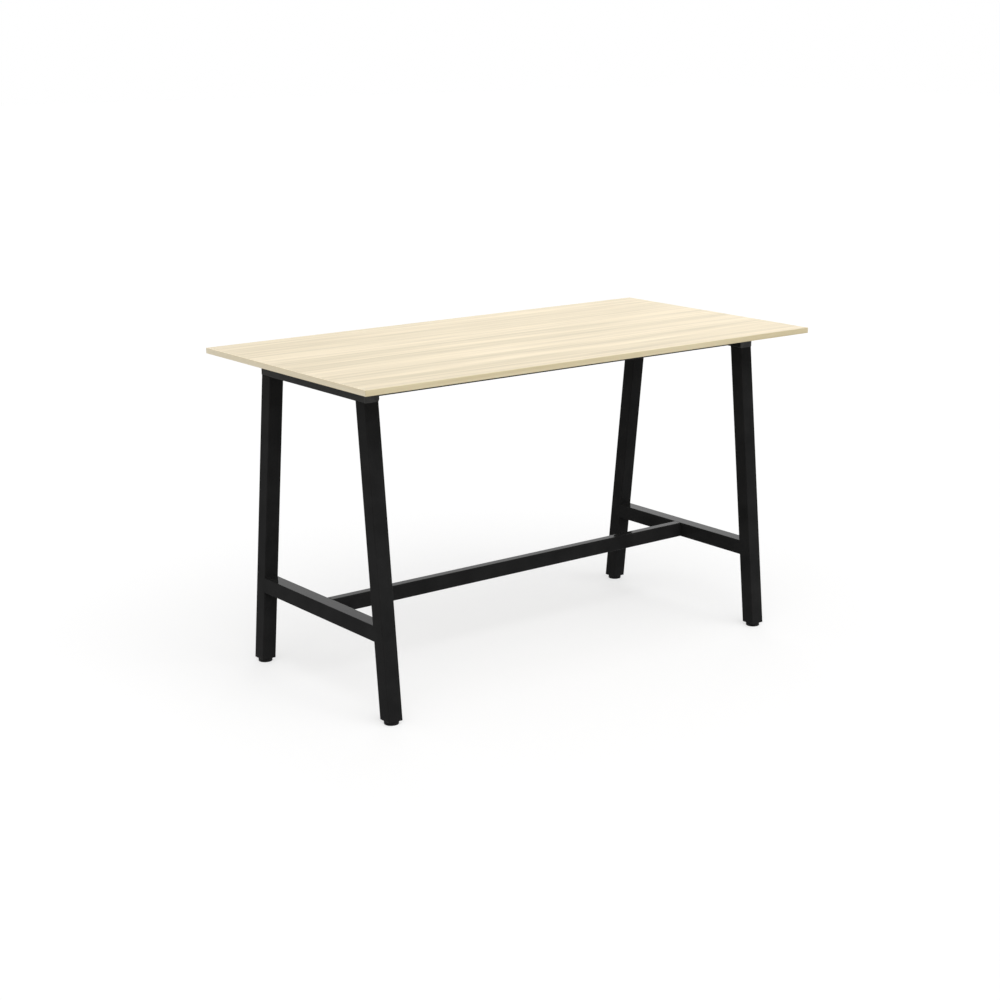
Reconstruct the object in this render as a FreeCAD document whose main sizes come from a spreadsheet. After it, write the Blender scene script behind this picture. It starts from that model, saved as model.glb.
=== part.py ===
import FreeCAD, Part
import Sketcher
import os
import re

# A standing-height table: a wood-grain board on two splayed end frames of square tube,
# which two beams under the board and one low foot rail tie together.
# The origin is on the floor under the middle of the board. +X runs along the board, the
# front is towards -Y and +Z is up. Lengths are in millimetres, leg_splay is in degrees.

SIZES = {
    # Board and its edging
    "table_height": 1050,
    "top_length": 1800,
    "top_width": 900,
    "board_thickness": 18,
    "edge_thickness": 2,
    "edge_radius": 1,
    # Square tube of the end frames
    "tube_width": 50,
    "tube_wall": 2,
    "tube_radius": 3,
    "leg_splay": 6,
    "frame_setback": 104,
    "rail_inset": 161,
    "lower_rail_height": 250,
    "leg_clearance": 12,
    "trim_overrun": 15,
    # Plastic caps in the ends of the top rails
    "cap_thickness": 3,
    "cap_plug_length": 15,
    "cap_fin_thickness": 3,
    "plug_clearance": 0.2,
    # Flat bars that carry the board on the top rails
    "plate_thickness": 8,
    "plate_width": 100,
    "plate_inset": 74,
    "plate_screw_inset": 12,
    "plate_screw_margin": 25,
    # Beams under the board, their end plates and bolts
    "beam_width": 30,
    "beam_depth": 50,
    "beam_wall": 2,
    "beam_radius": 2.5,
    "beam_inset": 47,
    "beam_screw_inset": 241,
    "end_plate_thickness": 5,
    "end_plate_width": 84,
    "end_plate_margin": 4,
    "bolt_span": 56,
    "bolt_diameter": 8,
    "bolt_length": 20,
    "bolt_head_diameter": 14,
    "bolt_head_height": 4.4,
    "beam_nut_across": 13,
    "beam_nut_height": 6.5,
    "thread_clearance": 0.1,
    "bolt_clearance": 0.5,
    # Screws into the board
    "screw_diameter": 5,
    "screw_head_diameter": 9,
    "screw_head_height": 3,
    "screw_bite": 13,
    "pilot_margin": 1,
    "driver_hole": 12,
    # Foot rail, the stubs it slides over and its locking screws
    "foot_rail_width": 30,
    "foot_rail_wall": 2,
    "foot_rail_radius": 2.5,
    "spigot_length": 60,
    "spigot_wall": 5,
    "spigot_clearance": 0.2,
    "lock_screw_diameter": 6,
    "lock_screw_head_diameter": 10.5,
    "lock_screw_head_height": 3.3,
    "lock_screw_inset": 30,
    # Leg inserts and levelling feet
    "insert_flange": 4,
    "insert_plug_height": 30,
    "foot_nut_across": 17,
    "foot_nut_height": 8,
    "nut_pocket_clearance": 0.2,
    "recess_depth": 5,
    "stem_diameter": 10,
    "stem_length": 45,
    "stem_clearance": 0.1,
    "stem_bore_clearance": 0.5,
    "stem_head_diameter": 14,
    "stem_head_height": 3.6,
    "stem_collar_across": 15,
    "stop_gap": 0.3,
    "pad_diameter": 46,
    "pad_gap": 1.2,
    "pad_sole": 2.8,
    "pad_base_chamfer": 1.2,
    "pad_top_chamfer": 2.4,
    # How far a cutting tool runs past a face
    "cut_overrun": 1,
}

# Each end frame stands on the sign of its side in X, each leg on the sign of its face in Y.
SIDES = {"left": -1, "right": 1}
FACES = {"front": -1, "back": 1}
NEARLY_PARALLEL_SHARE = 0.999

doc = FreeCAD.newDocument("bar_leaner")
sheet = doc.addObject("Spreadsheet::Sheet", "sizes")
for row, (alias, size) in enumerate(SIZES.items(), start=1):
    sheet.set(f"A{row}", alias)
    sheet.set(f"B{row}", str(size))
    sheet.setAlias(f"B{row}", alias)
doc.recompute()
pieces = []


def formula(words):
    """Point every size named in a formula at its cell in the sheet."""
    return re.sub(r"[a-z_]+", lambda word: f"sizes.{word[0]}" if word[0] in SIZES else word[0], words)


def bind(thing, path, words):
    """Bind one property of an object to a formula of the sheet's sizes."""
    thing.setExpression(path, formula(words))


def worth(words):
    """Work out a formula's present value, to draw a sketch near its solution."""
    return float(sheet.evalExpression(formula(words)))


def place(thing, x="0", y="0", z="0"):
    """Bind an object's position to formulas, with its turn left as it is."""
    for axis, words in zip("xyz", (x, y, z)):
        bind(thing, f"Placement.Base.{axis}", words)


def turn(thing, axis, degrees):
    """Turn an object about an axis through its own origin."""
    thing.Placement = FreeCAD.Placement(FreeCAD.Vector(), FreeCAD.Rotation(FreeCAD.Vector(*axis), degrees))


def node(thing, label):
    """Name an object as one finished piece of the table."""
    thing.Label = label
    pieces.append(thing)
    return thing


# Sketches and the solids made from them


def new_sketch(body, name, plane, offset="0"):
    """Start a sketch on one of a body's own origin planes, moved along its normal."""
    sketch = body.newObject("Sketcher::SketchObject", name)
    origin_plane = next(feature for feature in body.Origin.OriginFeatures if feature.Role == plane)
    sketch.AttachmentSupport = [(origin_plane, "")]
    sketch.MapMode = "FlatFace"
    bind(sketch, "AttachmentOffset.Base.z", offset)
    return sketch


def pin_point(sketch, geometry, point, x, y):
    """Hold one point of a sketch at formulas for its two distances from the origin."""
    for kind, words in (("DistanceX", x), ("DistanceY", y)):
        index = sketch.addConstraint(Sketcher.Constraint(kind, -1, 1, geometry, point, worth(words)))
        bind(sketch, f"Constraints[{index}]", words)


def outline(sketch, points):
    """Draw a closed outline of straight lines through points given as formulas."""
    first = sketch.GeometryCount
    corners = [FreeCAD.Vector(worth(x), worth(y), 0) for x, y in points]
    for start, end in zip(corners, corners[1:] + corners[:1]):
        sketch.addGeometry(Part.LineSegment(start, end), False)
    for index, (x, y) in enumerate(points):
        following = first + (index + 1) % len(points)
        sketch.addConstraint(Sketcher.Constraint("Coincident", first + index, 2, following, 1))
        pin_point(sketch, first + index, 1, x, y)


def rectangle(sketch, width, height, middle="0"):
    """Draw a rectangle whose middle is some way above the sketch's origin."""
    half_width = f"({width}) / 2"
    half_height = f"({height}) / 2"
    outline(sketch, [
        (f"{across} * {half_width}", f"{middle} + {up} * {half_height}")
        for across, up in ((-1, -1), (1, -1), (1, 1), (-1, 1))
    ])


def bar(name, along, width, height, length, wall=None):
    """Extrude a rectangular section, hollow if it has a wall, evenly both ways along an axis."""
    plane = {"X": "YZ_Plane", "Y": "XZ_Plane", "Z": "XY_Plane"}[along]
    body = doc.addObject("PartDesign::Body", name)
    section = new_sketch(body, f"{name}_section", plane)
    rectangle(section, width, height)
    if wall:
        rectangle(section, f"{width} - 2 * {wall}", f"{height} - 2 * {wall}")
    pad = body.newObject("PartDesign::Pad", f"{name}_pad")
    pad.Profile = section
    pad.SideType = "Symmetric"
    bind(pad, "Length", length)
    doc.recompute()
    return body


def edges_along(shape, direction):
    """List each edge along a direction with its name and its middle."""
    direction = FreeCAD.Vector(*direction)
    found = []
    for index, edge in enumerate(shape.Edges, start=1):
        if abs(edge.tangentAt(edge.FirstParameter).dot(direction)) > NEARLY_PARALLEL_SHARE:
            found.append((f"Edge{index}", edge.CenterOfMass))
    return found


def round_edges(body, names, radius):
    """Round the named edges of a body's last feature."""
    base = body.Tip
    fillet = body.newObject("PartDesign::Fillet", f"{body.Name}_fillet")
    fillet.Base = (base, names)
    bind(fillet, "Radius", radius)
    doc.recompute()


def round_corners(body, along, radius):
    """Round the four outer edges that run the length of a bar."""
    axis = FreeCAD.Vector(*(float(along == letter) for letter in "XYZ"))
    edges = edges_along(body.Tip.Shape, axis)
    edges.sort(key=lambda edge: (edge[1] - axis * edge[1].dot(axis)).Length)
    round_edges(body, [name for name, middle in edges[-4:]], radius)


def drill(body, name, plane, start, depth, diameter, centres):
    """Cut round holes from a plane backwards along its normal, and make sure that they cut."""
    before = body.Tip.Shape.Volume
    sketch = new_sketch(body, f"{body.Name}_{name}", plane, start)
    normal = FreeCAD.Vector(0, 0, 1)
    for x, y in centres:
        centre = FreeCAD.Vector(worth(x), worth(y), 0)
        index = sketch.addGeometry(Part.Circle(centre, normal, worth(diameter) / 2), False)
        pin_point(sketch, index, 3, x, y)
        size = sketch.addConstraint(Sketcher.Constraint("Diameter", index, worth(diameter)))
        bind(sketch, f"Constraints[{size}]", diameter)
    pocket = body.newObject("PartDesign::Pocket", f"{body.Name}_{name}_pocket")
    pocket.Profile = sketch
    bind(pocket, "Length", depth)
    doc.recompute()
    if body.Tip.Shape.Volume >= before:
        raise RuntimeError(f"{body.Name}: {name} cuts nothing")


# Solids made from primitives


def combine(kind, name, base, tool):
    """Join, cut or intersect two objects."""
    result = doc.addObject(f"Part::{kind}", name)
    result.Base = base
    result.Tool = tool
    return result


def gather(kind, name, shapes):
    """Fuse several objects, or keep them as separate solids of one group."""
    result = doc.addObject(f"Part::{kind}", name)
    setattr(result, {"MultiFuse": "Shapes", "Compound": "Links"}[kind], shapes)
    return result


def stand_on_axis(thing, at, direction, start):
    """Stand a primitive on a point, pointing along a direction, begun some way along it."""
    to_direction = FreeCAD.Rotation(FreeCAD.Vector(0, 0, 1), FreeCAD.Vector(*direction))
    thing.Placement = FreeCAD.Placement(FreeCAD.Vector(), to_direction)
    place(thing, *(f"{point} + {part} * ({start})" for point, part in zip(at, direction)))
    return thing


def rod(name, diameter, length, at, direction=(0, 0, 1), start="0"):
    """Make a round rod."""
    cylinder = doc.addObject("Part::Cylinder", name)
    bind(cylinder, "Radius", f"({diameter}) / 2")
    bind(cylinder, "Height", length)
    return stand_on_axis(cylinder, at, direction, start)


def hexagon(name, across, length, at, direction=(0, 0, 1), start="0"):
    """Make a hexagonal rod of a given size across its flats."""
    prism = doc.addObject("Part::Prism", name)
    prism.Polygon = 6
    bind(prism, "Circumradius", f"({across}) / 2 / cos(30)")
    bind(prism, "Height", length)
    return stand_on_axis(prism, at, direction, start)


def screw(name, diameter, length, head_diameter, head_height, at, direction):
    """Make a headed screw whose head bears on the point that it is placed at."""
    shank = rod(f"{name}_shank", diameter, length, at, direction)
    head = rod(f"{name}_head", head_diameter, head_height, at, direction, f"-1 * {head_height}")
    return combine("Fuse", name, shank, head)


def slab(name, bottom, top):
    """Make a level block, wider than the spread of the legs, that trims pieces to two heights."""
    block = doc.addObject("Part::Box", name)
    half_length = f"({frame_reach} + tube_width)"
    half_width = f"({leg_reach('leg_clearance')} + tube_width)"
    bind(block, "Length", f"2 * {half_length}")
    bind(block, "Width", f"2 * {half_width}")
    bind(block, "Height", f"{top} - {bottom}")
    place(block, f"-1 * {half_length}", f"-1 * {half_width}", bottom)
    return block


# Heights and reaches that several pieces share
board_bottom = "(table_height - board_thickness)"
rail_length = "(top_width - 2 * rail_inset)"
rail_top = f"({board_bottom} - plate_thickness)"
rail_bottom = f"({rail_top} - tube_width)"
rail_middle = f"({rail_top} - tube_width / 2)"
lower_rail_middle = "(lower_rail_height + tube_width / 2)"
leg_steel_bottom = "(leg_clearance + insert_flange)"
frame_reach = "(top_length / 2 - frame_setback - tube_width / 2)"
inner_reach = "(top_length / 2 - frame_setback - tube_width)"
beam_reach = f"({inner_reach} - end_plate_thickness)"
beam_middle = f"({board_bottom} - beam_depth / 2)"
beam_offset = f"({rail_length} / 2 - beam_inset)"
beam_screw_reach = f"({beam_reach} - beam_screw_inset)"
plate_length = f"({rail_length} - 2 * plate_inset)"
plate_screw_reach = "(plate_width / 2 - plate_screw_inset)"
plate_screw_offset = f"({plate_length} / 2 - plate_screw_margin)"
lock_screw_reach = f"({inner_reach} - lock_screw_inset)"
pilot_diameter = "(screw_diameter + 2 * thread_clearance)"
plug_width = "(tube_width - 2 * tube_wall - 2 * plug_clearance)"


def leg_reach(height):
    """Distance of a leg's middle line from the table's middle plane at a height."""
    at_rail = f"({rail_length} / 2 - tube_width / 2 / cos(leg_splay))"
    return f"({at_rail} + ({rail_bottom} - {height}) * tan(leg_splay))"


# Board, with a blind pilot hole above every screw, and its edging

plate_screw_places = [
    (f"{x_sign} * {frame_reach} + {row} * {plate_screw_reach}", f"{y_sign} * {plate_screw_offset}")
    for x_sign in SIDES.values()
    for row in (-1, 1)
    for y_sign in FACES.values()
]
beam_screw_places = [
    (f"{step} * {beam_screw_reach}", f"{y_sign} * {beam_offset}")
    for step in (-1, 0, 1)
    for y_sign in FACES.values()
]

core_length = "(top_length - 2 * edge_thickness)"
core_width = "(top_width - 2 * edge_thickness)"
board = bar("board", "Z", core_length, core_width, "board_thickness")
pilot_depth = "(screw_bite + pilot_margin)"
drill(board, "pilots", "XY_Plane", f"{pilot_depth} - board_thickness / 2", f"{pilot_depth} + cut_overrun",
      pilot_diameter, plate_screw_places + beam_screw_places)
place(board, z=f"{board_bottom} + board_thickness / 2")
node(board, "worktop_board")


def edge_band(label, along, length, reach, sign):
    """Strip of edging whose two outer edges are rounded."""
    band = bar(label, along, "edge_thickness", "board_thickness", length)
    outward = FreeCAD.Vector(0, sign, 0) if along == "X" else FreeCAD.Vector(sign, 0, 0)
    direction = (1, 0, 0) if along == "X" else (0, 1, 0)
    edges = edges_along(band.Tip.Shape, direction)
    round_edges(band, [name for name, middle in edges if middle.dot(outward) > 0], "edge_radius")
    middle = f"{sign} * ({reach} - edge_thickness / 2)"
    height = f"{board_bottom} + board_thickness / 2"
    if along == "X":
        place(band, y=middle, z=height)
    else:
        place(band, x=middle, z=height)
    node(band, label)


for face, sign in FACES.items():
    edge_band(f"edge_band_{face}", "X", "top_length", "top_width / 2", sign)
for side, sign in SIDES.items():
    edge_band(f"edge_band_{side}", "Y", core_width, "top_length / 2", sign)


# Legs: square tube, splayed across the width and sawn level at both ends

leg_slab = slab("leg_slab", leg_steel_bottom, rail_bottom)
flange_slab = slab("flange_slab", "leg_clearance", leg_steel_bottom)
plug_slab = slab("plug_slab", leg_steel_bottom, f"({leg_steel_bottom} + insert_plug_height)")


def splayed_bar(name, width, x_sign, y_sign, radius=None):
    """Square bar along one leg's slanted middle line, longer than the leg at both ends."""
    middle = f"(({rail_bottom} + leg_clearance) / 2)"
    length = f"({rail_bottom} - leg_clearance) / cos(leg_splay) + 2 * trim_overrun"
    body = bar(name, "Z", width, width, length)
    if radius:
        round_corners(body, "Z", radius)
    turn(body, (y_sign, 0, 0), worth("leg_splay"))
    bind(body, "Placement.Rotation.Angle", "leg_splay")
    place(body, f"{x_sign} * {frame_reach}", f"{y_sign} * {leg_reach(middle)}", middle)
    return body


def leg(side, face):
    """Tube of one leg. Returns the solid bar that it is hollowed from."""
    corner = f"{side}_{face}"
    signs = (SIDES[side], FACES[face])
    outside = splayed_bar(f"leg_outside_{corner}", "tube_width", *signs, "tube_radius")
    inside = splayed_bar(f"leg_inside_{corner}", "(tube_width - 2 * tube_wall)", *signs)
    tube = combine("Cut", f"leg_tube_{corner}", outside, inside)
    node(combine("Common", f"leg_sawn_{corner}", tube, leg_slab), f"leg_{corner}")
    return outside


leg_bars = {(side, face): leg(side, face) for side in SIDES for face in FACES}


# Rails of the end frames

bolt_reaches = [
    f"{y_sign} * {beam_offset} + {step} * bolt_span / 2"
    for y_sign in FACES.values()
    for step in (-1, 1)
]


def top_rail(side):
    """Tube over the leg tops, with bolt holes for the beams in its inner wall."""
    rail = bar(f"top_rail_{side}", "Y", "tube_width", "tube_width",
               f"{rail_length} - 2 * cap_thickness", "tube_wall")
    round_corners(rail, "Y", "tube_radius")
    drill(rail, "bolt_holes", "YZ_Plane", "tube_width / 2 + cut_overrun", "tube_wall + 2 * cut_overrun",
          "bolt_diameter + 2 * bolt_clearance", [(y, "0") for y in bolt_reaches])
    turn(rail, (0, 0, 1), {"left": 0, "right": 180}[side])
    place(rail, x=f"{SIDES[side]} * {frame_reach}", z=rail_middle)
    node(rail, f"top_rail_{side}")


def rail_cap(side, face):
    """Plastic cap: a flush flange, and two fins that hold it inside the tube."""
    name = f"rail_cap_{side}_{face}"
    cap = bar(name, "Y", "tube_width", "tube_width", "cap_thickness")
    round_corners(cap, "Y", "tube_radius")
    section = new_sketch(cap, f"{name}_fin_section", "XZ_Plane")
    for up in (-1, 1):
        fin_middle = f"{up} * ({plug_width} - cap_fin_thickness) / 2"
        rectangle(section, plug_width, "cap_fin_thickness", fin_middle)
    fins = cap.newObject("PartDesign::Pad", f"{name}_fins")
    fins.Profile = section
    fins.Reversed = FACES[face] < 0
    bind(fins, "Length", "cap_plug_length + cap_thickness / 2")
    place(cap, f"{SIDES[side]} * {frame_reach}",
          f"{FACES[face]} * ({rail_length} - cap_thickness) / 2", rail_middle)
    node(cap, name)


def lower_rail(side):
    """Tube between the legs, its ends shaped to the legs that it is welded to."""
    rail = bar(f"lower_rail_bar_{side}", "Y", "tube_width", "tube_width",
               f"2 * {leg_reach(lower_rail_middle)}", "tube_wall")
    round_corners(rail, "Y", "tube_radius")
    place(rail, x=f"{SIDES[side]} * {frame_reach}", z=lower_rail_middle)
    legs = gather("MultiFuse", f"legs_{side}", [leg_bars[side, face] for face in FACES])
    node(combine("Cut", f"lower_rail_coped_{side}", rail, legs), f"lower_rail_{side}")


for side in SIDES:
    top_rail(side)
    lower_rail(side)
    for face in FACES:
        rail_cap(side, face)


# Flat bars welded on the top rails, and the screws through them into the board


def fixing_plate(side):
    """Flat bar with a row of screw holes on each side of the rail under it."""
    plate = bar(f"fixing_plate_{side}", "Z", "plate_width", plate_length, "plate_thickness")
    places = [
        (f"{row} * {plate_screw_reach}", f"{y_sign} * {plate_screw_offset}")
        for row in (-1, 1)
        for y_sign in FACES.values()
    ]
    drill(plate, "screw_holes", "XY_Plane", "plate_thickness / 2 + cut_overrun",
          "plate_thickness + 2 * cut_overrun", pilot_diameter, places)
    place(plate, x=f"{SIDES[side]} * {frame_reach}", z=f"{rail_top} + plate_thickness / 2")
    node(plate, f"fixing_plate_{side}")


for side in SIDES:
    fixing_plate(side)

plate_screws = [
    screw(f"plate_screw_{index}", "screw_diameter", "plate_thickness + screw_bite",
          "screw_head_diameter", "screw_head_height", (x, y, rail_top), (0, 0, 1))
    for index, (x, y) in enumerate(plate_screw_places)
]
node(gather("Compound", "plate_screw_group", plate_screws), "plate_screws")


# Beams under the board, their bolted end plates and their screws into the board


def beam(face):
    """Tube with a screw hole in its upper wall above each driver hole in its lower wall."""
    body = bar(f"beam_{face}", "X", "beam_width", "beam_depth", f"2 * {beam_reach}", "beam_wall")
    round_corners(body, "X", "beam_radius")
    places = [(f"{step} * {beam_screw_reach}", "0") for step in (-1, 0, 1)]
    wall_cut = "beam_wall + 2 * cut_overrun"
    drill(body, "screw_holes", "XY_Plane", "beam_depth / 2 + cut_overrun", wall_cut, pilot_diameter, places)
    drill(body, "driver_holes", "XY_Plane", "beam_wall + cut_overrun - beam_depth / 2", wall_cut,
          "driver_hole", places)
    place(body, y=f"{FACES[face]} * {beam_offset}", z=beam_middle)
    node(body, f"beam_{face}")


def beam_plate(face, side):
    """End plate welded on a beam, with a bolt hole on each side of it."""
    name = f"beam_plate_{face}_{side}"
    plate = bar(name, "X", "end_plate_width", "tube_width - 2 * end_plate_margin", "end_plate_thickness")
    drill(plate, "bolt_holes", "YZ_Plane", "end_plate_thickness / 2 + cut_overrun",
          "end_plate_thickness + 2 * cut_overrun", "bolt_diameter + 2 * bolt_clearance",
          [("-1 * bolt_span / 2", "0"), ("bolt_span / 2", "0")])
    place(plate, f"{SIDES[side]} * ({inner_reach} - end_plate_thickness / 2)",
          f"{FACES[face]} * {beam_offset}", rail_middle)
    node(plate, name)


def beam_nut(name, at, outward):
    """Hexagonal nut welded inside a top rail, on its inner wall."""
    blank = hexagon(f"{name}_blank", "beam_nut_across", "beam_nut_height", at, outward, "tube_wall")
    bore = rod(f"{name}_bore", "bolt_diameter + 2 * thread_clearance",
               "beam_nut_height + 2 * cut_overrun", at, outward, "tube_wall - cut_overrun")
    return combine("Cut", name, blank, bore)


for face in FACES:
    beam(face)
    for side in SIDES:
        beam_plate(face, side)

beam_bolts = []
beam_nuts = []
for side, x_sign in SIDES.items():
    outward = (x_sign, 0, 0)
    for index, y in enumerate(bolt_reaches):
        seat = (f"{x_sign} * {beam_reach}", y, rail_middle)
        wall_face = (f"{x_sign} * {inner_reach}", y, rail_middle)
        beam_bolts.append(screw(f"beam_bolt_{side}_{index}", "bolt_diameter", "bolt_length",
                                "bolt_head_diameter", "bolt_head_height", seat, outward))
        beam_nuts.append(beam_nut(f"beam_nut_{side}_{index}", wall_face, outward))
node(gather("Compound", "beam_bolt_group", beam_bolts), "beam_bolts")
node(gather("Compound", "beam_nut_group", beam_nuts), "beam_nuts")

beam_screws = [
    screw(f"beam_screw_{index}", "screw_diameter", "beam_wall + screw_bite", "screw_head_diameter",
          "screw_head_height", (x, y, f"({board_bottom} - beam_wall)"), (0, 0, 1))
    for index, (x, y) in enumerate(beam_screw_places)
]
node(gather("Compound", "beam_screw_group", beam_screws), "beam_screws")


# Foot rail, slid over a stub on each lower rail and locked from below

lock_hole = "lock_screw_diameter + 2 * thread_clearance"
foot_rail = bar("foot_rail_tube", "X", "foot_rail_width", "tube_width", f"2 * {inner_reach}",
                "foot_rail_wall")
round_corners(foot_rail, "X", "foot_rail_radius")
drill(foot_rail, "lock_holes", "XY_Plane", "foot_rail_wall + cut_overrun - tube_width / 2",
      "foot_rail_wall + 2 * cut_overrun", lock_hole,
      [(f"{x_sign} * {lock_screw_reach}", "0") for x_sign in SIDES.values()])
place(foot_rail, z=lower_rail_middle)
node(foot_rail, "foot_rail")


def spigot(side):
    """Short thick tube welded on a lower rail, a sliding fit inside the foot rail."""
    name = f"foot_rail_spigot_{side}"
    gap = "2 * (foot_rail_wall + spigot_clearance)"
    stub = bar(name, "X", f"(foot_rail_width - {gap})", f"(tube_width - {gap})", "spigot_length",
               "spigot_wall")
    floor = "(foot_rail_wall + spigot_clearance - tube_width / 2)"
    drill(stub, "lock_hole", "XY_Plane", f"{floor} + spigot_wall + cut_overrun",
          "spigot_wall + 2 * cut_overrun", lock_hole,
          [(f"{SIDES[side]} * (spigot_length / 2 - lock_screw_inset)", "0")])
    place(stub, x=f"{SIDES[side]} * ({inner_reach} - spigot_length / 2)", z=lower_rail_middle)
    node(stub, name)


for side in SIDES:
    spigot(side)

lock_screws = [
    screw(f"lock_screw_{side}", "lock_screw_diameter", "foot_rail_wall + spigot_clearance + spigot_wall",
          "lock_screw_head_diameter", "lock_screw_head_height",
          (f"{x_sign} * {lock_screw_reach}", "0", "lower_rail_height"), (0, 0, 1))
    for side, x_sign in SIDES.items()
]
node(gather("Compound", "lock_screw_group", lock_screws), "foot_rail_screws")


# Levelling feet: an insert in the leg with a captive nut, a threaded stem and a pad

recess_top = "(leg_clearance + recess_depth)"
pad_top = "(leg_clearance - pad_gap)"
head_top = "(pad_sole + stem_clearance + stem_head_height)"
collar_bottom = "leg_clearance"
collar_top = f"({recess_top} - stop_gap)"


def leg_insert(side, face, at):
    """Plastic end of a leg: a flange that carries on its outline, and a plug inside the tube."""
    corner = f"{side}_{face}"
    flange = combine("Common", f"insert_flange_{corner}", leg_bars[side, face], flange_slab)
    plug_bar = splayed_bar(f"insert_bar_{corner}", plug_width, SIDES[side], FACES[face])
    plug = combine("Common", f"insert_plug_{corner}", plug_bar, plug_slab)
    blank = combine("Fuse", f"insert_blank_{corner}", flange, plug)
    pocket_across = "(foot_nut_across + 2 * nut_pocket_clearance)"
    recess = rod(f"insert_recess_{corner}", f"{pocket_across} / cos(30)", "recess_depth + cut_overrun",
                 at, start="leg_clearance - cut_overrun")
    pocket = hexagon(f"insert_pocket_{corner}", pocket_across, "foot_nut_height + cut_overrun",
                     at, start=f"{recess_top} - cut_overrun")
    bore = rod(f"insert_bore_{corner}", "stem_diameter + 2 * stem_bore_clearance", "insert_plug_height",
               at, start=leg_steel_bottom)
    hollow = gather("MultiFuse", f"insert_hollow_{corner}", [recess, pocket, bore])
    node(combine("Cut", f"insert_{corner}", blank, hollow), f"leg_insert_{corner}")


def foot_nut(corner, at):
    """Nut that sits against the roof of its pocket, where the leg's load bears on it."""
    blank = hexagon(f"foot_nut_blank_{corner}", "foot_nut_across", "foot_nut_height", at, start=recess_top)
    bore = rod(f"foot_nut_bore_{corner}", "stem_diameter + 2 * stem_clearance",
               "foot_nut_height + 2 * cut_overrun", at, start=f"{recess_top} - cut_overrun")
    node(combine("Cut", f"foot_nut_cut_{corner}", blank, bore), f"foot_nut_{corner}")


def foot_stem(corner, at):
    """Threaded stem with a spanner collar, and a flat head that turns inside the pad."""
    head_bottom = "(pad_sole + stem_clearance)"
    head = rod(f"stem_head_{corner}", "stem_head_diameter", "stem_head_height", at, start=head_bottom)
    neck = rod(f"stem_neck_{corner}", "stem_diameter", f"{collar_bottom} - {head_bottom}", at,
               start=head_bottom)
    collar = hexagon(f"stem_collar_{corner}", "stem_collar_across", f"{collar_top} - {collar_bottom}",
                     at, start=collar_bottom)
    thread = rod(f"stem_thread_{corner}", "stem_diameter", "stem_length", at, start=collar_bottom)
    node(gather("MultiFuse", f"stem_{corner}", [head, neck, collar, thread]), f"foot_stem_{corner}")


def foot_pad(corner, x, y):
    """Round pad turned about its axis, with a socket that holds the stem's head."""
    outer = "pad_diameter / 2"
    neck = "(stem_diameter / 2 + stem_clearance)"
    socket = "(stem_head_diameter / 2 + stem_clearance)"
    socket_top = f"({head_top} + stem_clearance)"
    pad = doc.addObject("PartDesign::Body", f"pad_{corner}")
    profile = new_sketch(pad, f"pad_profile_{corner}", "XZ_Plane")
    outline(profile, [
        ("0", "0"),
        (f"{outer} - pad_base_chamfer", "0"),
        (outer, "pad_base_chamfer"),
        (outer, f"{pad_top} - pad_top_chamfer"),
        (f"{outer} - pad_top_chamfer", pad_top),
        (neck, pad_top),
        (neck, socket_top),
        (socket, socket_top),
        (socket, "pad_sole"),
        ("0", "pad_sole"),
    ])
    turned = pad.newObject("PartDesign::Revolution", f"pad_turned_{corner}")
    turned.Profile = profile
    turned.ReferenceAxis = (profile, ["V_Axis"])
    turned.Angle = 360
    place(pad, x, y)
    node(pad, f"foot_pad_{corner}")


for side, x_sign in SIDES.items():
    for face, y_sign in FACES.items():
        foot_x = f"{x_sign} * {frame_reach}"
        foot_y = f"{y_sign} * {leg_reach('leg_clearance')}"
        foot = (foot_x, foot_y, "0")
        leg_insert(side, face, foot)
        foot_nut(f"{side}_{face}", foot)
        foot_stem(f"{side}_{face}", foot)
        foot_pad(f"{side}_{face}", foot_x, foot_y)


# Build, look for failures, and only then write one file for each piece

doc.recompute()
failed = [thing.Label for thing in doc.Objects if {"Invalid", "Error"} & set(thing.State)]
failed += [piece.Label for piece in pieces if piece.Shape.isNull() or not piece.Shape.isValid()]
if failed:
    raise RuntimeError(f"these did not build: {failed}")
os.makedirs("parts", exist_ok=True)
for piece in pieces:
    piece.Shape.exportStep(f"parts/{piece.Label}.step")
print(f"{len(pieces)} pieces")
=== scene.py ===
import math

import bmesh
import bpy
import numpy as np
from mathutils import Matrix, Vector


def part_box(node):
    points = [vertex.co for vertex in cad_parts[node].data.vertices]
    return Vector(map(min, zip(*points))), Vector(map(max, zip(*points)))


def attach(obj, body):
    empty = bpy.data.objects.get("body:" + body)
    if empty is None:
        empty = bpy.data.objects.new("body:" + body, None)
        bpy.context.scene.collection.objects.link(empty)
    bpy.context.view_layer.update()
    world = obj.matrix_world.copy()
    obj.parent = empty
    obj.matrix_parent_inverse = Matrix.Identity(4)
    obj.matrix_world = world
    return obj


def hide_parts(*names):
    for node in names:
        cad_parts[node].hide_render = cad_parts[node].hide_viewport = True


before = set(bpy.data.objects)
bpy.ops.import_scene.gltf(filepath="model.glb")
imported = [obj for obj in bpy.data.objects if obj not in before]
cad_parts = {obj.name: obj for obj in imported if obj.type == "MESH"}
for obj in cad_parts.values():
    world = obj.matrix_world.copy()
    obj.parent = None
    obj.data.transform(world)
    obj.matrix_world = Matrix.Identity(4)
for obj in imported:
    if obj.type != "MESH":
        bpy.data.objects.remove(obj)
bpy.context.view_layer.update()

# A bar leaner table, dressed piece by piece in the order that it is put together. Lengths are in
# metres, in the frame's own axes: +X along the board, the front towards -Y and +Z up.
MM = 0.001


# End frames: legs, top rails and lower rails of 50 mm square steel tube with a 2 mm wall. The tube
# is sawn, welded and dressed flush on its flat faces, then powder coated in a satin black. The top
# rails get a greyer copy of the coat, a painted highlight for the light band they show under the board.

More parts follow.
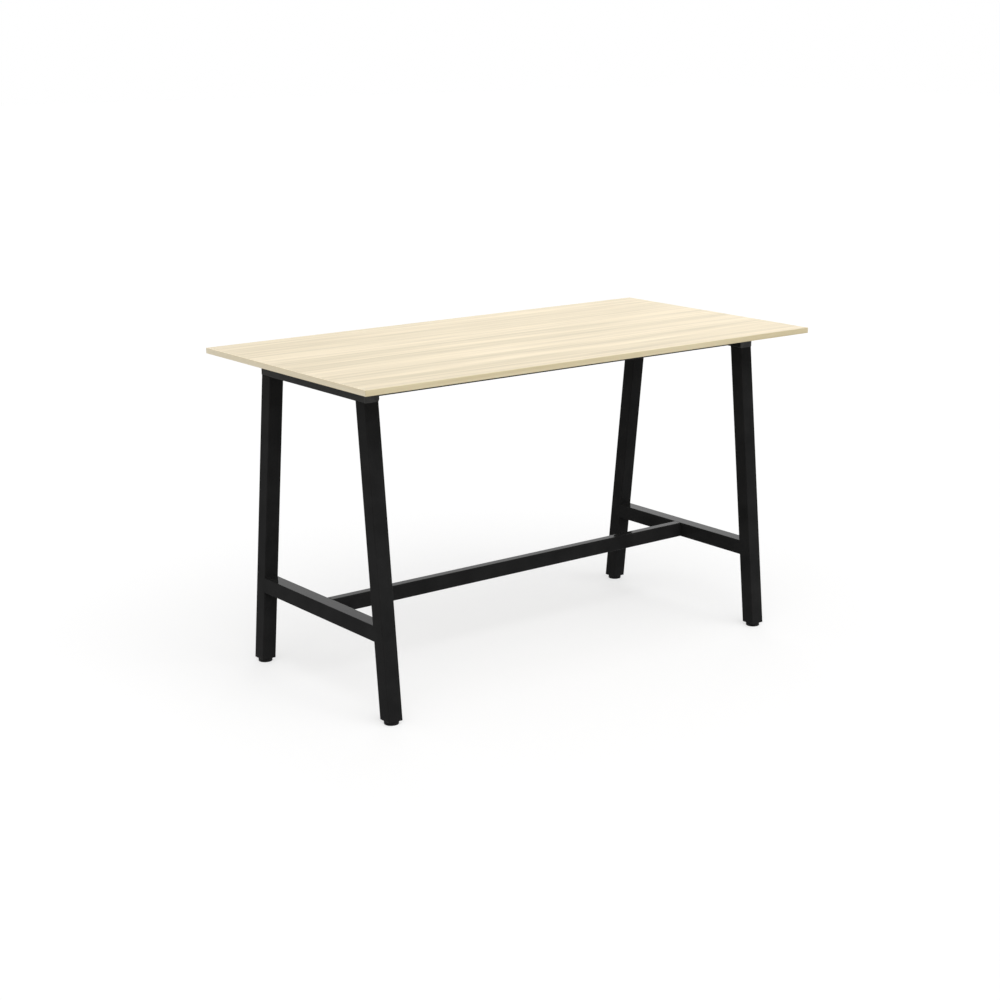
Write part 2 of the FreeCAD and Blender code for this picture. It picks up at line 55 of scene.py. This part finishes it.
def to_linear(colour):
    """Linear RGBA of an sRGB hex colour: a channel c becomes ((c + 0.055) / 1.055) ** 2.4."""
    channels = np.array([int(colour[i:i + 2], 16) for i in (1, 3, 5)]) / 255
    return (*(((channels + 0.055) / 1.055) ** 2.4), 1.0)


def add_node(tree, kind, sockets=None, **settings):
    """Add one shader node with its settings, and fill or link its input sockets by name."""
    made = tree.nodes.new("ShaderNode" + kind)
    for name, value in settings.items():
        setattr(made, name, value)
    for name, value in (sockets or {}).items():
        if isinstance(value, bpy.types.NodeSocket):
            tree.links.new(value, made.inputs[name])
        else:
            made.inputs[name].default_value = value
    return made


def start_material(name):
    """Make an empty material. Returns it, its node tree and the metre coordinates of the piece."""
    material = bpy.data.materials.new(name)
    material.use_nodes = True
    tree = material.node_tree
    tree.nodes.clear()
    return material, tree, add_node(tree, "TexCoord").outputs["Object"]


def finish_material(tree, sockets):
    """End a material in one surface shader with these sockets."""
    shader = add_node(tree, "BsdfPrincipled", sockets)
    add_node(tree, "OutputMaterial", {"Surface": shader.outputs["BSDF"]})


def dress(names, material):
    """Give CAD nodes a finish."""
    for name in names:
        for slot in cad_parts[name].material_slots:
            slot.material = material


def powder_coat_material(name, thick, thin):
    """Polyester powder coat: a baked satin film, dull face on, and a soft mirror of what stands behind
    it when it is seen at a low angle.

    Its faint orange peel is 1.6 mm from crest to crest. Patches as wide as a hand vary in tone and
    gloss, between the colours of a thick and a thin sprayed film.
    """
    peel, patch = 1.6 * MM, 90 * MM
    material, tree, coords = start_material(name)
    crests = add_node(tree, "TexNoise", {"Vector": coords, "Scale": 1 / peel, "Detail": 2.0})
    film = add_node(tree, "TexNoise", {"Vector": coords, "Scale": 1 / patch, "Detail": 3.0})
    speckle = add_node(tree, "MixRGB", {"Fac": 0.45, "Color1": film.outputs["Fac"],
                                        "Color2": crests.outputs["Fac"]})
    tone = add_node(tree, "ValToRGB", {"Fac": speckle.outputs["Color"]})
    tone.color_ramp.elements[0].position = 0.32
    tone.color_ramp.elements[0].color = to_linear(thick)
    tone.color_ramp.elements[1].position = 0.68
    tone.color_ramp.elements[1].color = to_linear(thin)
    gloss = add_node(tree, "MapRange", {"Value": speckle.outputs["Color"], "From Min": 0.3,
                                        "From Max": 0.7, "To Min": 0.05, "To Max": 0.12})
    bump = add_node(tree, "Bump", {"Height": crests.outputs["Fac"], "Strength": 0.03,
                                   "Distance": 0.3 * MM})
    finish_material(tree, {"Base Color": tone.outputs["Color"], "Roughness": gloss.outputs["Result"],
                           "Normal": bump.outputs["Normal"], "Specular IOR Level": 0.014})
    return material


SIDES = ("left", "right")
FACES = {"front": -1, "back": 1}
corners = [(side, face) for side in SIDES for face in FACES]
powder_coat = powder_coat_material("powder_coat_satin_black", "#1d1d1d", "#292929")
dress([f"leg_{side}_{face}" for side, face in corners], powder_coat)
dress([f"lower_rail_{side}" for side in SIDES], powder_coat)
# The top rails' copy of the coat is painted greyer: a painted highlight for the band under the board.
dress([f"top_rail_{side}" for side in SIDES],
      powder_coat_material("powder_coat_satin_painted_highlight", "#3c3c3c", "#4c4c4c"))


# Welds of the end frames: a small fillet run where each leg meets the rail above it, and above and
# below each lower rail. They are steel, laid in one pass each and powder coated with the frame.

weld_throat, weld_root = 3.5 * MM, 0.4 * MM
weld_pitch, weld_ripple, weld_lag = 3.2 * MM, 0.08, 2.5
weld_roundness = 0.4
tube_radius = 3 * MM
leg_splay = math.radians(6)


def weld_bead(start, end, first_face, second_face, rows=110, columns=9):
    """Grid of one fillet weld in the corner of two faces.

    A row is a cross-section: the corner, then an arc from the first face to the second, whose reach
    lies between a flat fillet's, 1 / (cos t + sin t), and a round one's, 1. Along the seam the reach
    swells from nothing over one throat at each end as a quarter circle does, and ripples as
    cos(2 pi s / pitch), which lags where the bead meets the faces.
    """
    start, end, first_face, second_face = np.array([start, end, first_face, second_face], float)
    length = np.linalg.norm(end - start)
    along = np.linspace(0, length, rows)[:, None]
    turn = np.linspace(0, math.pi / 2, columns)[None, :]
    from_end = np.minimum(along, length - along)
    swell = np.sqrt(1 - np.clip(1 - from_end / weld_throat, 0, 1) ** 2)
    flat_reach = 1 / (np.cos(turn) + np.sin(turn))
    lag = weld_lag * (turn - math.pi / 4) ** 2
    ripple = 1 + weld_ripple * np.cos(2 * math.pi * along / weld_pitch - lag)
    reach = weld_throat * swell * (weld_roundness + (1 - weld_roundness) * flat_reach) * ripple
    seam = (start + along * (end - start) / length)[:, None]
    arc = np.cos(turn)[..., None] * first_face + np.sin(turn)[..., None] * second_face
    root = seam - weld_root * swell[..., None] * (first_face + second_face)
    return np.concatenate([root, seam + reach[..., None] * arc], axis=1)


def skin(name, grids, material, body, replaced=()):
    """Piece made of closed skins, one for each grid of an array.

    Rows run along a skin and columns close round it. A face joins two neighbouring rows and columns,
    and an end row that has shrunk to one point is merged into a pole.
    """
    same_point, crease = 1e-7, math.radians(38)
    grids = np.asarray(grids, float)
    corner = np.arange(grids[..., 0].size).reshape(grids.shape[:3])
    beside = np.roll(corner, -1, axis=2)
    faces = np.stack([corner[:, :-1], beside[:, :-1], beside[:, 1:], corner[:, 1:]], axis=-1)
    mesh = bpy.data.meshes.new(name)
    mesh.from_pydata(grids.reshape(-1, 3), [], faces.reshape(-1, 4))
    build = bmesh.new()
    build.from_mesh(mesh)
    bmesh.ops.remove_doubles(build, verts=build.verts, dist=same_point)
    bmesh.ops.recalc_face_normals(build, faces=build.faces)
    build.to_mesh(mesh)
    build.free()
    mesh.shade_smooth()
    mesh.set_sharp_from_angle(angle=crease)
    mesh.materials.append(material)
    piece = bpy.data.objects.new(name, mesh)
    bpy.context.scene.collection.objects.link(piece)
    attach(piece, body)
    if replaced:
        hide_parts(*replaced)


leg_beads, rail_beads = [], []
for side, face in corners:
    inward = -FACES[face]
    level = (0, inward, 0)
    up_leg = (0, inward * math.sin(leg_splay), math.cos(leg_splay))
    down_leg = (0, -up_leg[1], -up_leg[2])
    low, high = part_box(f"leg_{side}_{face}")
    rail_low, rail_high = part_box(f"lower_rail_{side}")
    left, right = low.x + tube_radius, high.x - tube_radius
    inner_y = inward * max(inward * low.y, inward * high.y)
    bottom_y = -inward * rail_high.y
    top_y = bottom_y + inward * (rail_high.z - rail_low.z) * math.tan(leg_splay)
    seams = ((leg_beads, inner_y, high.z, down_leg), (rail_beads, top_y, rail_high.z, up_leg),
             (rail_beads, bottom_y, rail_low.z, down_leg))
    for beads, y, z, along_leg in seams:
        beads.append(weld_bead((left, y, z), (right, y, z), level, along_leg))
skin("weld_leg_tops", leg_beads, powder_coat, "frame")
skin("weld_lower_rails", rail_beads, powder_coat, "frame")


# Rail caps: flush plugs of moulded nylon, knocked into the open ends of the top rails, whose lower
# edges show under the board as a band above each leg. The caps are painted grey: a painted
# highlight for the light that those edges catch.

def moulded_nylon_material(name, deep, worn):
    """Moulded nylon: a dull plastic with a spark-eroded skin, whose tone drifts from deep to worn.

    The mould's texture is about 0.2 mm and is drawn at 1.2 mm, so that it breaks up the highlights.
    """
    spark, cloud = 1.2 * MM, 25 * MM
    material, tree, coords = start_material(name)
    pits = add_node(tree, "TexVoronoi", {"Vector": coords, "Scale": 1 / spark})
    tint = add_node(tree, "TexNoise", {"Vector": coords, "Scale": 1 / cloud, "Detail": 4.0})
    tone = add_node(tree, "ValToRGB", {"Fac": tint.outputs["Fac"]})
    tone.color_ramp.elements[0].position = 0.3
    tone.color_ramp.elements[0].color = to_linear(deep)
    tone.color_ramp.elements[1].position = 0.7
    tone.color_ramp.elements[1].color = to_linear(worn)
    sheen = add_node(tree, "MapRange", {"Value": tint.outputs["Fac"], "To Min": 0.42, "To Max": 0.58})
    bump = add_node(tree, "Bump", {"Height": pits.outputs["Distance"], "Strength": 0.1,
                                   "Distance": 0.2 * MM})
    finish_material(tree, {"Base Color": tone.outputs["Color"], "Roughness": sheen.outputs["Result"],
                           "Normal": bump.outputs["Normal"], "IOR": 1.53, "Specular IOR Level": 0.08})
    return material


# Grey copy of the nylon: a painted highlight on the caps' lower edges.
dress([f"rail_cap_{side}_{face}" for side, face in corners],
      moulded_nylon_material("moulded_nylon_painted_highlight", "#3e3e3e", "#525252"))


# Fixing plates: flat steel bar stitched to the top rails by short welds and powder coated with them.
# Zinc-plated screws with a six-lobe recess go up through each plate's overhang into the board.

stitch_length = 40 * MM
stitch_places = (-150 * MM, 0.0, 150 * MM)
plate_screw_inset, plate_screw_margin = 12 * MM, 25 * MM
board_screw_head, board_screw_head_height, board_screw_shank = 9 * MM, 3 * MM, 5 * MM
board_screw_key, board_screw_key_depth = 4.2 * MM, 1.6 * MM
# Columns about the axis of a screw, and the angles along a quarter turn that draw domes and rounds
screw_columns = 48
quarter_turn = np.linspace(0, math.pi / 2, 9)


def zinc_plate_material():
    """Bright zinc on steel: a bluish grey metal with faint cloudy patches and fine drawing lines.

    The real lines are 0.1 mm wide, too fine to show here, so they are drawn at 0.6 mm.
    """
    line, cloud = 0.6 * MM, 6 * MM
    material, tree, coords = start_material("zinc_plated_steel_bright")
    lines = add_node(tree, "TexNoise", {"Vector": coords, "Scale": 1 / line, "Detail": 1.0})
    patches = add_node(tree, "TexNoise", {"Vector": coords, "Scale": 1 / cloud, "Detail": 4.0})
    tone = add_node(tree, "ValToRGB", {"Fac": patches.outputs["Fac"]})
    tone.color_ramp.elements[0].position = 0.3
    tone.color_ramp.elements[0].color = to_linear("#a4a8ab")
    tone.color_ramp.elements[1].position = 0.7
    tone.color_ramp.elements[1].color = to_linear("#c6c8c6")
    sheen = add_node(tree, "MapRange", {"Value": patches.outputs["Fac"], "To Min": 0.24, "To Max": 0.44})
    bump = add_node(tree, "Bump", {"Height": lines.outputs["Fac"], "Strength": 0.06,
                                   "Distance": 0.1 * MM})
    finish_material(tree, {"Base Color": tone.outputs["Color"], "Roughness": sheen.outputs["Result"],
                           "Normal": bump.outputs["Normal"], "Metallic": 1.0})
    return material


def full_turn(columns):
    """Angles of columns spread evenly about an axis."""
    return np.linspace(0, 2 * math.pi, columns, endpoint=False)


def about_axis(heights, radii, columns=screw_columns):
    """Grid about the Z axis. A row has one height and a radius r at each angle a, which put its points
    at x = r cos a, y = r sin a. A row's radius is one number or one for each column."""
    angle = full_turn(columns)
    radii = np.stack([np.broadcast_to(radius, columns) for radius in radii])
    heights = np.broadcast_to(np.asarray(heights, float)[:, None], radii.shape)
    return np.stack([radii * np.cos(angle), radii * np.sin(angle), heights], axis=-1)


def stand(grid, points, direction=(0, 0, 1)):
    """Copies of a grid, one at each point, with the grid's Z axis turned to a direction."""
    to_direction = np.array(Vector((0, 0, 1)).rotation_difference(Vector(direction)).to_matrix())
    return np.asarray(points, float)[:, None, None, :] + grid @ to_direction.T


def six_lobe(width):
    """Radius of a six-lobe recess at each angle a: it swells and shrinks as cos 6a."""
    lobe = 0.13
    return width / 2 * (1 - lobe + lobe * np.cos(6 * full_turn(screw_columns)))


def headed_screw(head_diameter, head_height, shank_diameter, shank_length, recess, recess_depth):
    """Grid of one screw along +Z, whose head bears on the plane at zero and hangs below it.

    Rows follow its outline: the shank from its tip down, the bearing face, a short upright rim, a dome
    that is a quarter ellipse, and the recess, whose radius at each angle is given.
    """
    head, shank = head_diameter / 2, shank_diameter / 2
    tip, tip_length = 0.75 * shank, 0.2 * shank_diameter
    rim, land = 0.3 * head_height, 0.3 * MM
    mouth = np.max(recess) + land
    recess_floor = 0.96 * recess
    heights = [shank_length, shank_length, shank_length - tip_length, 0, 0]
    radii = [0, tip, shank, shank, head]
    heights += list(-rim - (head_height - rim) * np.sin(quarter_turn))
    radii += list(mouth + (head - mouth) * np.cos(quarter_turn))
    heights += [-head_height, recess_depth - head_height, recess_depth - head_height]
    radii += [recess, recess_floor, 0]
    return about_axis(heights, radii)


def board_screw(length):
    """Grid of one screw that holds the board, whose shank has this length."""
    return headed_screw(board_screw_head, board_screw_head_height, board_screw_shank, length,
                        six_lobe(board_screw_key), board_screw_key_depth)


zinc_plate = zinc_plate_material()
dress([f"fixing_plate_{side}" for side in SIDES], powder_coat)
stitches, plate_screw_points = [], []
for side in SIDES:
    low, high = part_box(f"fixing_plate_{side}")
    rail_low, rail_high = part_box(f"top_rail_{side}")
    for rail_x, outward in ((rail_low.x, -1), (rail_high.x, 1)):
        for middle in stitch_places:
            ends = [(rail_x, middle + half * stitch_length, low.z) for half in (-0.5, 0.5)]
            stitches.append(weld_bead(*ends, (outward, 0, 0), (0, 0, -1)))
    plate_screw_points += [
        (x, y, low.z)
        for x in (low.x + plate_screw_inset, high.x - plate_screw_inset)
        for y in (low.y + plate_screw_margin, high.y - plate_screw_margin)
    ]
skin("weld_fixing_plates", stitches, powder_coat, "frame")
plate_screw_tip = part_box("plate_screws")[1].z
plate_screw = board_screw(plate_screw_tip - plate_screw_points[0][2])
skin("six_lobe_plate_screws", stand(plate_screw, plate_screw_points), zinc_plate, "frame",
     ["plate_screws"])


# Beams: 50 x 30 steel tube under the board with a welded plate at each end, powder coated. Button-head
# M8 bolts pull the plates onto nuts inside the top rails, and screws in the beams hold the board.

bolt_span = 56 * MM
bolt_head, bolt_head_height, bolt_shank, bolt_length = 14 * MM, 4.4 * MM, 8 * MM, 20 * MM
bolt_key, bolt_key_depth = 5 * MM, 2.6 * MM


def hexagon_outline(across, columns=screw_columns):
    """Radius of a hexagon at each angle a: half the size across its flats over cos of the angle from
    the middle of the nearest flat."""
    from_flat = (full_turn(columns) + math.pi / 6) % (math.pi / 3) - math.pi / 6
    return across / 2 / np.cos(from_flat)


dress([f"beam_{face}" for face in FACES], powder_coat)
dress([f"beam_plate_{face}_{side}" for face in FACES for side in SIDES], powder_coat)
dress(["beam_nuts"], zinc_plate)
bolt = headed_screw(bolt_head, bolt_head_height, bolt_shank, bolt_length,
                    hexagon_outline(bolt_key), bolt_key_depth)
beam_beads, bolts = [], []
for face in FACES:
    beam_low, beam_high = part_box(f"beam_{face}")
    for side, outward in zip(SIDES, (-1, 1)):
        low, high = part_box(f"beam_plate_{face}_{side}")
        inner_x = outward * min(outward * low.x, outward * high.x)
        inward_x, down = (-outward, 0, 0), (0, 0, -1)
        for y, away in ((beam_low.y, (0, -1, 0)), (beam_high.y, (0, 1, 0))):
            ends = [(inner_x, y, z) for z in (beam_low.z + tube_radius, high.z)]
            beam_beads.append(weld_bead(*ends, inward_x, away))
        ends = [(inner_x, y, beam_low.z) for y in (beam_low.y + tube_radius, beam_high.y - tube_radius)]
        beam_beads.append(weld_bead(*ends, inward_x, down))
        middle = (low + high) / 2
        places = [(inner_x, middle.y + half * bolt_span, middle.z) for half in (-0.5, 0.5)]
        bolts.append(stand(bolt, places, (outward, 0, 0)))
skin("weld_beam_plates", beam_beads, powder_coat, "frame")
skin("button_head_beam_bolts", np.concatenate(bolts), zinc_plate, "frame", ["beam_bolts"])
screw_low, screw_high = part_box("beam_screws")
screw_reach_x = screw_high.x - board_screw_head / 2
screw_reach_y = screw_high.y - board_screw_head / 2
bearing = screw_low.z + board_screw_head_height
beam_screw = board_screw(screw_high.z - bearing)
beam_screw_points = [(step * screw_reach_x, sign * screw_reach_y, bearing)
                     for step in (-1, 0, 1) for sign in FACES.values()]
skin("six_lobe_beam_screws", stand(beam_screw, beam_screw_points), zinc_plate, "frame",
     ["beam_screws"])


# Foot rail: 50 x 30 powder-coated tube that slides over a welded stub on each lower rail, where one
# zinc-plated button-head M6 screw from below locks it.

lock_head, lock_head_height, lock_shank = 10.5 * MM, 3.3 * MM, 6 * MM
lock_key, lock_key_depth = 4 * MM, 2 * MM

dress(["foot_rail"] + [f"foot_rail_spigot_{side}" for side in SIDES], powder_coat)
screw_low, screw_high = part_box("foot_rail_screws")
bearing = screw_low.z + lock_head_height
lock_screw = headed_screw(lock_head, lock_head_height, lock_shank, screw_high.z - bearing,
                          hexagon_outline(lock_key), lock_key_depth)
lock_points = [(sign * (screw_high.x - lock_head / 2), 0, bearing) for sign in (-1, 1)]
skin("button_head_lock_screws", stand(lock_screw, lock_points), zinc_plate, "frame",
     ["foot_rail_screws"])


# Leg inserts: moulded nylon plugs in the open ends of the legs, each with a captive zinc-plated nut
# that the levelling foot's stem screws into.

black_nylon = moulded_nylon_material("moulded_nylon_black", "#121212", "#1d1d1d")
dress([f"leg_insert_{side}_{face}" for side, face in corners], black_nylon)
dress([f"foot_nut_{side}_{face}" for side, face in corners], zinc_plate)


# Levelling feet: a zinc-plated M10 stem with a rolled thread and a spanner collar, whose flat head
# turns in the socket of a round pad of moulded black nylon that stands on the floor.

stem_diameter, thread_pitch = 10 * MM, 1.5 * MM
thread_depth = 0.61 * thread_pitch
stem_head, stem_head_height = 14 * MM, 3.6 * MM
collar_across, collar_height, collar_chamfer = 15 * MM, 4.7 * MM, 0.6 * MM
collar_rise = 9.1 * MM
pad_base_radius, pad_top_radius = 1.2 * MM, 2.4 * MM
pad_sole, socket_gap = 2.8 * MM, 0.1 * MM


def threaded_stem(length):
    """Grid of a stem that stands on zero: a flat head, a neck, a hexagonal collar and a thread.

    On the thread, the radius at height z and angle a is the crest's less a triangle wave of
    z / pitch - a / 2 pi, which makes one right-hand helix. It fades out at the collar and the tip.
    """
    columns, rows_a_turn = 32, 8
    angle = full_turn(columns)
    crest = stem_diameter / 2
    collar_top = collar_rise + collar_height
    hexagon = hexagon_outline(collar_across, columns)
    turned = np.minimum(hexagon, collar_across / 2 + collar_chamfer / 2)
    heights = [0, 0, stem_head_height, stem_head_height, collar_rise]
    radii = [0, stem_head / 2, stem_head / 2, crest, crest]
    heights += [collar_rise, collar_rise + collar_chamfer]
    heights += [collar_top - collar_chamfer, collar_top, collar_top]
    radii += [turned, hexagon, hexagon, turned, crest]
    z = np.arange(collar_top, length - thread_pitch, thread_pitch / rows_a_turn)
    wave = np.abs(2 * ((z[:, None] / thread_pitch - angle / (2 * math.pi)) % 1) - 1)
    fade = np.clip(np.minimum(z - collar_top, length - thread_pitch - z) / thread_pitch, 0, 1)
    heights += list(z) + [length, length]
    radii += list(crest - thread_depth * wave * fade[:, None]) + [crest - thread_depth, 0]
    return about_axis(heights, radii, columns)


def round_pad(diameter, height):
    """Grid of a pad turned about its axis: a flat sole, a small round at the foot, an upright wall, a
    larger round at the top, and a stepped socket down to its floor. Rounds are quarter circles."""
    outer = diameter / 2
    neck = stem_diameter / 2 + socket_gap
    socket = stem_head / 2 + socket_gap
    socket_top = pad_sole + stem_head_height + 2 * socket_gap
    from_start, from_end = 1 - np.cos(quarter_turn), 1 - np.sin(quarter_turn)
    heights = [0, *(pad_base_radius * from_start), *(height - pad_top_radius * from_end)]
    radii = [0, *(outer - pad_base_radius * from_end), *(outer - pad_top_radius * from_start)]
    heights += [height, socket_top, socket_top, pad_sole, pad_sole]
    radii += [neck, neck, socket, socket, 0]
    return about_axis(heights, radii, columns=72)


for side, face in corners:
    stem_low, stem_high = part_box(f"foot_stem_{side}_{face}")
    pad_low, pad_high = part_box(f"foot_pad_{side}_{face}")
    axis_x, axis_y = (pad_low.x + pad_high.x) / 2, (pad_low.y + pad_high.y) / 2
    stem = threaded_stem(stem_high.z - stem_low.z)
    skin(f"threaded_stem_{side}_{face}", stand(stem, [(axis_x, axis_y, stem_low.z)]), zinc_plate,
         f"stem_{side}_{face}", [f"foot_stem_{side}_{face}"])
    pad = round_pad(pad_high.x - pad_low.x, pad_high.z - pad_low.z)
    skin(f"levelling_pad_{side}_{face}", stand(pad, [(axis_x, axis_y, pad_low.z)]), black_nylon,
         f"foot_{side}_{face}", [f"foot_pad_{side}_{face}"])


# Board: 18 mm particle board faced with blonde wood-grain melamine, its straight grain along the
# length in bands of cream and tan. Edging of the same tone, 2 mm thick, is glued on all four sides;
# the ends' edging is painted lighter, painted light for the dimmer light that falls on them.

# Pale streaks and darker lines of the grain that run the board's whole length: the distance of each
# one's middle from the back edge, and its width
pale_streaks = ((315 * MM, 110 * MM), (450 * MM, 55 * MM), (600 * MM, 170 * MM), (732 * MM, 60 * MM))
dark_lines = ((234 * MM, 60 * MM), (412 * MM, 65 * MM), (495 * MM, 40 * MM), (690 * MM, 60 * MM),
              (788 * MM, 70 * MM))


def lengthwise_bands(tree, coords, growth):
    """Tone of the board's grain: its streaks and lines, as a ramp across the width, mixed with the
    growth bands. They wander a little sideways along the board. The board is painted lighter
    towards its right end, painted light for the brighter light it catches there."""
    low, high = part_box("worktop_board")
    drift, drift_length, drift_width = 14 * MM, 0.9, 0.25
    plain, pale, dark = 0.48, 0.68, 0.32
    # Painted light: how much the tone rises from the board's left end to its right end
    painted_light_gain = 0.08
    wander = add_node(tree, "Mapping", {"Vector": coords,
                                        "Scale": (1 / drift_length, 1 / drift_width, 1.0)})
    wave = add_node(tree, "TexNoise", {"Vector": wander.outputs["Vector"], "Scale": 1.0, "Detail": 1.0})
    offset = add_node(tree, "MapRange", {"Value": wave.outputs["Fac"], "To Min": -drift, "To Max": drift})
    place = add_node(tree, "SeparateXYZ", {"Vector": coords})
    moved = add_node(tree, "Math", {0: place.outputs["Y"], 1: offset.outputs["Result"]}, operation="ADD")
    share = add_node(tree, "MapRange", {"Value": moved.outputs["Value"], "From Min": high.y,
                                        "From Max": low.y})
    bands = add_node(tree, "ValToRGB", {"Fac": share.outputs["Result"]})
    ramp = bands.color_ramp
    ramp.interpolation = "EASE"
    for stop in ramp.elements:
        stop.color = (plain, plain, plain, 1.0)
    marks = [(middle, width, pale) for middle, width in pale_streaks]
    marks += [(middle, width, dark) for middle, width in dark_lines]
    for middle, width, tone in marks:
        for from_back in (middle - width / 4, middle + width / 4):
            ramp.elements.new(from_back / (high.y - low.y)).color = (tone, tone, tone, 1.0)
    grown = add_node(tree, "MixRGB", {"Fac": 0.6, "Color1": bands.outputs["Color"], "Color2": growth})
    # Painted light: the board grows lighter from its left end to its right end
    painted_light_ramp = add_node(tree, "MapRange", {"Value": place.outputs["X"], "From Min": low.x, "From Max": high.x,
                                        "To Min": -painted_light_gain, "To Max": painted_light_gain})
    toned = add_node(tree, "Math", {0: grown.outputs["Color"], 1: painted_light_ramp.outputs["Result"]},
                     operation="ADD")
    return toned.outputs["Value"]


def woodgrain_material(name, along, tan, cream, banded):
    """Printed wood-grain melamine: a smooth satin sheet with a faint embossed pore.

    Streaks are noise drawn out along the grain: growth bands 40 mm wide, fibres 14 mm wide and pores
    2 mm wide, each of them many times as long. The real pores are 0.3 mm wide, too fine to show here.
    """
    streaks = ((1.1, 40 * MM), (0.5, 14 * MM), (0.06, 2 * MM))
    material, tree, coords = start_material(name)
    noises = []
    for length, width in streaks:
        scale = [1 / (length if axis == along else width) for axis in "XYZ"]
        drawn_out = add_node(tree, "Mapping", {"Vector": coords, "Scale": scale})
        noises.append(add_node(tree, "TexNoise", {"Vector": drawn_out.outputs["Vector"], "Scale": 1.0,
                                                  "Detail": 3.0}).outputs["Fac"])
    growth, fibre, pore = noises
    if banded:
        growth = lengthwise_bands(tree, coords, growth)
    figure = add_node(tree, "MixRGB", {"Fac": 0.5, "Color1": growth, "Color2": fibre}).outputs["Color"]
    tone = add_node(tree, "ValToRGB", {"Fac": figure})
    tone.color_ramp.elements[0].position = 0.36
    tone.color_ramp.elements[0].color = to_linear(tan)
    tone.color_ramp.elements[1].position = 0.64
    tone.color_ramp.elements[1].color = to_linear(cream)
    dash = add_node(tree, "MapRange", {"Value": pore, "From Min": 0.62, "From Max": 0.75,
                                       "To Max": 0.35})
    pored = add_node(tree, "MixRGB", {"Fac": dash.outputs["Result"], "Color1": tone.outputs["Color"],
                                      "Color2": to_linear(tan)})
    sheen = add_node(tree, "MapRange", {"Value": fibre, "To Min": 0.42, "To Max": 0.56})
    bump = add_node(tree, "Bump", {"Height": dash.outputs["Result"], "Strength": 0.15,
                                   "Distance": 0.1 * MM})
    finish_material(tree, {"Base Color": pored.outputs["Color"], "Roughness": sheen.outputs["Result"],
                           "Normal": bump.outputs["Normal"], "Specular IOR Level": 0.03})
    return material


dress(["worktop_board"], woodgrain_material("melamine_blonde_woodgrain", "X", "#cfc2a6", "#f0e2c7", True))
dress([f"edge_band_{face}" for face in FACES],
      woodgrain_material("edging_blonde_woodgrain_long", "X", "#d4c59e", "#e4d7b5", False))
# The ends' edging is painted lighter than the long edging: painted light for the dimmer light on the ends.
dress([f"edge_band_{side}" for side in SIDES],
      woodgrain_material("edging_blonde_woodgrain_short_painted_light", "Y", "#f6e8ca", "#fdf2d8", False))


# Studio: a white floor that runs out of sight, an even white surround, and the camera where the
# photograph was taken from. The key light is a softbox high in front. Two more fill the left side and
# the front from low down, and one behind the table draws the tops of the rails.

floor_reach = 40.0
floor_glow = 0.6
fill_light = 0.5
# Each lamp: strength, how wide it looks from the table, and the way to it
soft_lamps = {
    "front_softbox": (1.42, math.radians(60), Vector((-0.15, -0.6, 1.03))),
    "left_softbox": (0.42, math.radians(90), Vector((-1.0, 0.0, 0.35))),
    "low_softbox": (0.70, math.radians(90), Vector((0.2, -1.0, 0.3))),
    "back_softbox": (0.66, math.radians(40), Vector((0.61, 0.79, 0.29))),
}
camera_eye = Vector((-3.7723, -4.7303, 2.0556))
camera_aim = Vector((-0.0504, 0.0241, 0.5030))
sensor_width, lens_length = 36.0, 67.176


def seen_directly(tree):
    """One for rays that show the surround as it is, straight, mirrored or through glass, else zero."""
    path = add_node(tree, "LightPath")
    shown = add_node(tree, "Math", {0: path.outputs["Is Camera Ray"], 1: path.outputs["Is Glossy Ray"]},
                     operation="MAXIMUM")
    return add_node(tree, "Math", {0: shown.outputs["Value"], 1: path.outputs["Is Transmission Ray"]},
                    operation="MAXIMUM").outputs["Value"]


floor_material = bpy.data.materials.new("studio_floor_white")
floor_material.use_nodes = True
tree = floor_material.node_tree
tree.nodes.clear()
matt = add_node(tree, "BsdfDiffuse", {"Color": to_linear("#a9a9a9")})
glow_strength = add_node(tree, "Math", {0: seen_directly(tree), 1: floor_glow}, operation="MULTIPLY")
glow = add_node(tree, "Emission", {"Strength": glow_strength.outputs["Value"]})
both = add_node(tree, "AddShader", {0: matt.outputs["BSDF"], 1: glow.outputs["Emission"]})
add_node(tree, "OutputMaterial", {"Surface": both.outputs["Shader"]})
floor_mesh = bpy.data.meshes.new("studio_floor")
floor_corners = [(x * floor_reach, y * floor_reach, 0) for x, y in ((-1, -1), (1, -1), (1, 1), (-1, 1))]
floor_mesh.from_pydata(floor_corners, [], [(0, 1, 2, 3)])
floor_mesh.materials.append(floor_material)
floor = bpy.data.objects.new("studio_floor", floor_mesh)
bpy.context.scene.collection.objects.link(floor)

world = bpy.data.worlds.new("studio_surround")
bpy.context.scene.world = world
world.use_nodes = True
tree = world.node_tree
tree.nodes.clear()
strength = add_node(tree, "MapRange", {"Value": seen_directly(tree), "To Min": fill_light, "To Max": 1.0})
surround = add_node(tree, "Background", {"Color": to_linear("#ffffff"),
                                         "Strength": strength.outputs["Result"]})
add_node(tree, "OutputWorld", {"Surface": surround.outputs["Background"]})

for name, (power, spread, way) in soft_lamps.items():
    lamp_data = bpy.data.lights.new(name, "SUN")
    lamp_data.energy = power
    lamp_data.angle = spread
    lamp = bpy.data.objects.new(name, lamp_data)
    lamp.rotation_euler = (-way).to_track_quat("-Z", "Y").to_euler()
    bpy.context.scene.collection.objects.link(lamp)

camera_data = bpy.data.cameras.new("photo_camera")
camera_data.sensor_width = sensor_width
camera_data.lens = lens_length
camera_data.clip_end = 4 * floor_reach
camera = bpy.data.objects.new("photo_camera", camera_data)
camera.location = camera_eye
camera.rotation_euler = (camera_aim - camera_eye).to_track_quat("-Z", "Y").to_euler()
bpy.context.scene.collection.objects.link(camera)
bpy.context.scene.camera = camera
bpy.context.scene.view_settings.view_transform = "Standard"
